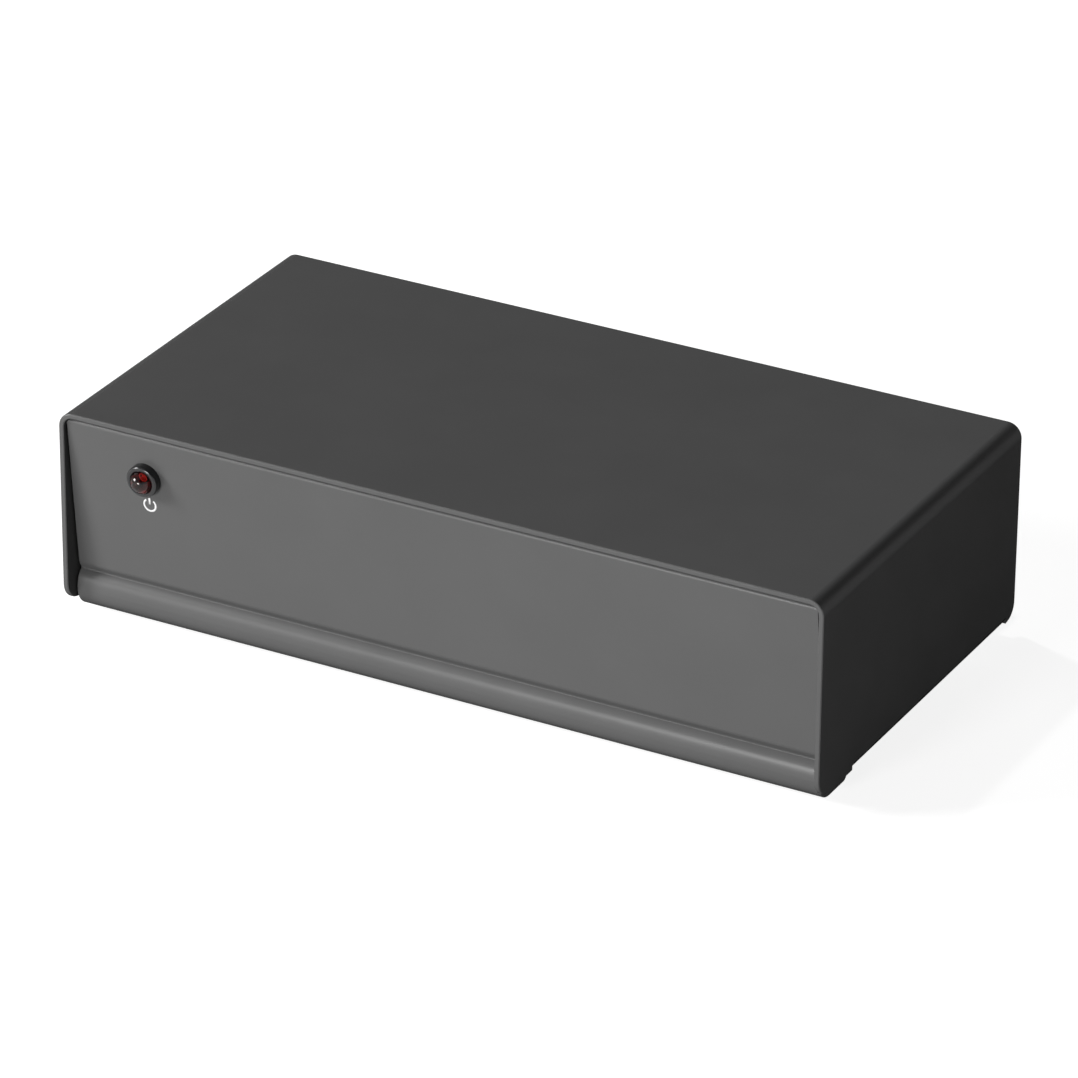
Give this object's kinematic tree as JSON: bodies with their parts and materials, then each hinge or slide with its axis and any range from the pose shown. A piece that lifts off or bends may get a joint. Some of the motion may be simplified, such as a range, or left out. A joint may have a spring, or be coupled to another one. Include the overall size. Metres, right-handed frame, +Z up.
{
  "type": "phono preamp",
  "caption": "Small phono preamplifier in a black folded steel case, with a red panel light in its leaning front, and phono jacks, a DC inlet and a ground terminal with a thumb nut behind.",
  "frame": {"origin": "under the middle of the whole part, on the surface that the feet stand on", "axes": "+X to the right as seen from the front, +Y from front to back, +Z up"},
  "size_m": [0.108, 0.068, 0.0295],
  "materials": {
    "case_black": "fine textured powder coat, satin",
    "black_steel": "black oxide screws",
    "zinc_steel": "bright zinc",
    "nickel": "nickel plate",
    "brass": "bare brass",
    "bezel_black": "polished",
    "jack_black": "moulded",
    "insulator_white": "moulded",
    "insulator_red": "moulded",
    "led_red": "clear dark red epoxy, unlit",
    "foot_rubber": "matte",
    "board_green": "solder resist",
    "wire_green": "wire sleeve",
    "package_black": "moulded",
    "can_black": "shrink sleeve",
    "film_yellow": "moulded box",
    "resistor_blue": "lacquer"
  },
  "bodies": {
    "preamp": {"board_screws": "zinc_steel", "board_standoffs": "brass", "chassis": "case_black", "circuit_board": "board_green", "coupling_capacitors": "can_black", "cover_screws": "black_steel", "dc_jack_housing": "jack_black", "dc_jack_pin": "nickel", "dc_jack_spring": "nickel", "film_capacitors": "film_yellow", "ground_fixing_nut": "nickel", "ground_lug": "nickel", "ground_post": "nickel", "ground_wire": "wire_green", "input_jack_housing": "jack_black", "input_left_contact": "brass", "input_left_insulator": "insulator_white", "input_left_shell": "nickel", "input_right_contact": "brass", "input_right_insulator": "insulator_red", "input_right_shell": "nickel", "led_bezel": "bezel_black", "led_leads": "nickel", "opamp_left": "package_black", "opamp_right": "package_black", "output_jack_housing": "jack_black", "output_left_contact": "brass", "output_left_insulator": "insulator_white", "output_left_shell": "nickel", "output_right_contact": "brass", "output_right_insulator": "insulator_red", "output_right_shell": "nickel", "polarity_diode": "package_black", "power_led": "led_red", "resistors_left": "resistor_blue", "resistors_right": "resistor_blue", "rubber_feet": "foot_rubber", "supply_capacitor": "can_black", "top_cover": "case_black", "voltage_regulator": "package_black"},
    "washer": {"ground_clamp_washer": "nickel"},
    "thumb_nut": {"ground_thumb_nut": "nickel"}
  },
  "joints": [
    {"name": "nut_travel", "type": "slide", "parent": "preamp", "child": "washer", "axis": [0, 1, 0], "range_m": [0, 0.0035]},
    {"name": "nut_turn", "type": "hinge", "parent": "washer", "child": "thumb_nut", "pos_m": [0.039, 0.02912, 0.0158], "axis": [0, 1, 0], "range_deg": [0, 1800]}
  ],
  "couplings": [
    {"joint": "nut_turn", "follows": "nut_travel", "rad_per_m": 8976}
  ]
}
